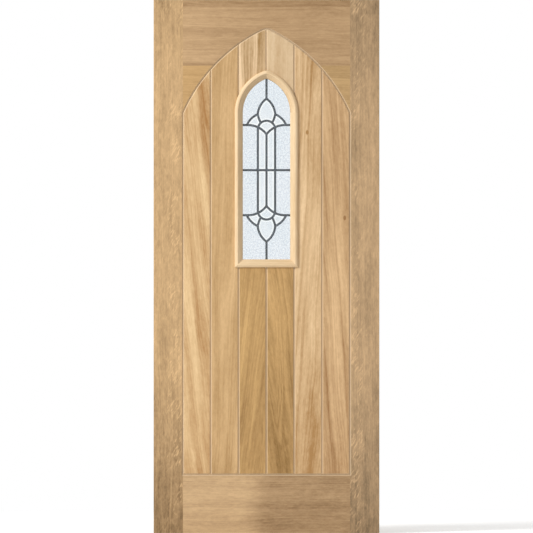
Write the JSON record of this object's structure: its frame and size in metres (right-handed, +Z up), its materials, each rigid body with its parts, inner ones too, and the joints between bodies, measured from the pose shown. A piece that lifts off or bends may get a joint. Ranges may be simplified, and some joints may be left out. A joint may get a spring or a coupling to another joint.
{
  "type": "arched wooden door",
  "caption": "Boarded oak door leaf with a pointed arched head, V-jointed boards and a small pointed leaded light with moulded beads.",
  "frame": {"origin": "middle of the bottom edge of the leaf, half way through its thickness", "axes": "+Z up the leaf, +X to the right seen from the front, +Y from the front face to the back face"},
  "size_m": [0.838, 0.066, 1.981],
  "materials": {
    "left_stile_oak": "planed and sanded oak, clear sealed",
    "right_stile_oak": "planed and sanded oak, clear sealed",
    "top_rail_oak": "planed and sanded oak, clear sealed",
    "left_spandrel_oak": "planed and sanded oak, clear sealed",
    "right_spandrel_oak": "planed and sanded oak, clear sealed",
    "bottom_rail_oak": "planed and sanded oak, clear sealed",
    "board_1_oak": "planed and sanded oak, clear sealed",
    "board_2_oak": "planed and sanded oak, clear sealed",
    "board_3_upper_oak": "planed and sanded oak, clear sealed",
    "board_3_lower_oak": "planed and sanded oak, clear sealed",
    "board_4_upper_oak": "planed and sanded oak, clear sealed",
    "board_4_lower_oak": "planed and sanded oak, clear sealed",
    "board_5_oak": "planed and sanded oak, clear sealed",
    "board_6_oak": "planed and sanded oak, clear sealed",
    "bead_oak": "moulded pale oak, clear sealed",
    "dowel_beech": "fluted beech dowel, plain here",
    "spline_oak": "planed oak",
    "pin_steel": "bright drawn steel",
    "glazing_tape": "closed cell foam tape",
    "spacer_aluminium": "mill finish",
    "edge_sealant": "cured sealant",
    "packer_plastic": "moulded",
    "lead_came": "dull lead, blackened",
    "clear_pane": "clear float glass",
    "bevelled_glass": "clear glass, ground and polished bevel",
    "stippled_glass": "rolled stippled obscure glass"
  },
  "bodies": {
    "root": {"left_stile": "left_stile_oak", "right_stile": "right_stile_oak", "top_rail": "top_rail_oak", "left_spandrel": "left_spandrel_oak", "right_spandrel": "right_spandrel_oak", "bottom_rail": "bottom_rail_oak", "board_1": "board_1_oak", "board_2": "board_2_oak", "board_3_upper": "board_3_upper_oak", "board_3_lower": "board_3_lower_oak", "board_4_upper": "board_4_upper_oak", "board_4_lower": "board_4_lower_oak", "board_5": "board_5_oak", "board_6": "board_6_oak", "front_bead_left": "bead_oak", "front_bead_right": "bead_oak", "front_bead_sill": "bead_oak", "front_bead_arch_left": "bead_oak", "front_bead_arch_right": "bead_oak", "back_bead_left": "bead_oak", "back_bead_right": "bead_oak", "back_bead_sill": "bead_oak", "back_bead_arch_left": "bead_oak", "back_bead_arch_right": "bead_oak", "left_dowels": "dowel_beech", "right_dowels": "dowel_beech", "spandrel_splines": "spline_oak", "back_bead_pins": "pin_steel", "front_glazing_tape": "glazing_tape", "back_glazing_tape": "glazing_tape", "front_spacer": "spacer_aluminium", "back_spacer": "spacer_aluminium", "edge_seal": "edge_sealant", "setting_blocks": "packer_plastic", "came_lattice": "lead_came", "front_pane": "clear_pane", "back_pane": "clear_pane", "upper_bud": "bevelled_glass", "upper_left_petal": "bevelled_glass", "upper_right_petal": "bevelled_glass", "upper_fan": "bevelled_glass", "upper_left_strip": "bevelled_glass", "upper_right_strip": "bevelled_glass", "lower_bud": "bevelled_glass", "lower_left_petal": "bevelled_glass", "lower_right_petal": "bevelled_glass", "lower_fan": "bevelled_glass", "lower_left_strip": "bevelled_glass", "lower_right_strip": "bevelled_glass", "upper_left_quarry": "stippled_glass", "upper_right_quarry": "stippled_glass", "lower_left_quarry": "stippled_glass", "lower_right_quarry": "stippled_glass", "top_left_quarry": "stippled_glass", "top_right_quarry": "stippled_glass", "bottom_left_quarry": "stippled_glass", "bottom_right_quarry": "stippled_glass"}
  },
  "joints": []
}
